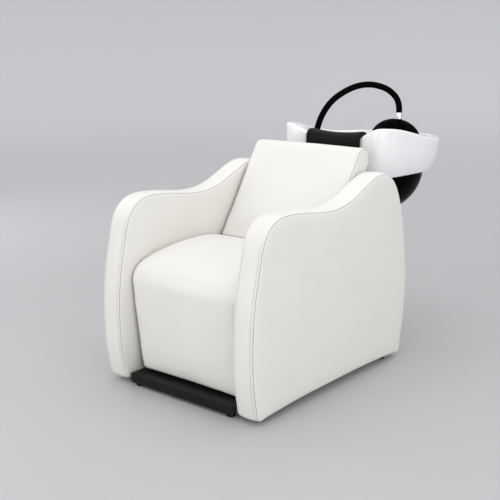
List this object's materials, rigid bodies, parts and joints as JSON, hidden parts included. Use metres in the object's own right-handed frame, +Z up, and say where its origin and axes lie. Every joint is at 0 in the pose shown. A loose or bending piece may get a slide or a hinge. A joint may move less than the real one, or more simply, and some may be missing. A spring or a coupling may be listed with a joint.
{
  "type": "salon hair washing bed",
  "caption": "Upholstered backwash chair with curved side panels and a tilting ceramic shampoo basin that carries a neck rest, a domed tap cover and a hand spray on a hose.",
  "frame": {"origin": "on the floor under the middle of the whole object's footprint", "axes": "+X to the sitter's left hand side as seen from the front (to the right of someone facing the chair), +Y from the seat front back to the basin, +Z up"},
  "size_m": [0.7, 1.4984, 1.0368],
  "materials": {
    "upholstery": "satin",
    "neck_pad": "satin",
    "ceramic": "gloss",
    "frame_steel": "satin",
    "kick_steel": "satin",
    "plywood": "matte",
    "zinc_steel": "satin",
    "shaft_steel": "satin",
    "bronze": "satin",
    "black_gloss": "gloss",
    "black_satin": "matte",
    "rubber_feet": "matte",
    "hose_black": "satin",
    "chrome": "polished",
    "brass": "satin",
    "spray_grey": "matte"
  },
  "bodies": {
    "chair": {"right_side_frame": "frame_steel", "left_side_frame": "frame_steel", "panel_bolts": "zinc_steel", "right_panel_board": "plywood", "left_panel_board": "plywood", "right_side_panel": "upholstery", "left_side_panel": "upholstery", "panel_glides": "rubber_feet", "cross_tubes": "frame_steel", "basin_mast": "frame_steel", "tilt_shaft": "shaft_steel", "shaft_nuts": "zinc_steel", "kick_bar": "kick_steel", "kick_bar_feet": "rubber_feet", "seat_cushion": "upholstery", "seat_board": "plywood", "apron_board": "plywood", "backrest_cushion": "upholstery", "backrest_board": "plywood", "rear_cover": "upholstery", "cover_standoffs": "zinc_steel", "cover_screws": "zinc_steel"},
    "basin": {"neck_rest": "neck_pad", "basin": "ceramic", "basin_carrier": "frame_steel", "shell_screws": "zinc_steel", "friction_washers": "zinc_steel", "pivot_bushes": "bronze", "tap_hood": "black_gloss", "lower_shell": "black_gloss", "spray_holder": "black_satin", "hose_grommet": "black_satin", "waste_lock_nut": "black_satin", "waste_tailpiece": "black_satin", "grommet_nut": "black_satin", "mixer_nut": "black_satin", "shower_hose": "hose_black", "waste_outlet": "chrome", "mixer_body": "brass", "inlet_tails": "brass", "outlet_pipe": "brass"},
    "strainer": {"strainer": "chrome"},
    "lever_hub": {"lever_hub": "chrome"},
    "mixer_lever": {"mixer_lever": "chrome"},
    "spray": {"handset": "black_gloss", "spray_plate": "spray_grey", "coupling_nut": "chrome"}
  },
  "joints": [
    {"name": "basin_tilt", "type": "hinge", "parent": "chair", "child": "basin", "pos_m": [0, 0.235, 0.615], "axis": [1, 0, 0], "range_deg": [-10, 10]},
    {"name": "strainer_lift", "type": "slide", "parent": "basin", "child": "strainer", "axis": [0, 0, 1], "range_m": [0, 0.05]},
    {"name": "lever_turn", "type": "hinge", "parent": "basin", "child": "lever_hub", "pos_m": [0, 0.732, 0.836], "axis": [0, 1, 0], "range_deg": [0, 90]},
    {"name": "lever_tip", "type": "hinge", "parent": "lever_hub", "child": "mixer_lever", "pos_m": [0, 0.7325, 0.836], "axis": [0, 0, -1], "range_deg": [0, 20]},
    {"name": "spray_lift", "type": "slide", "parent": "basin", "child": "spray", "axis": [0, 0, 1], "range_m": [0, 0.09], "deforming": ["shower_hose"]}
  ]
}
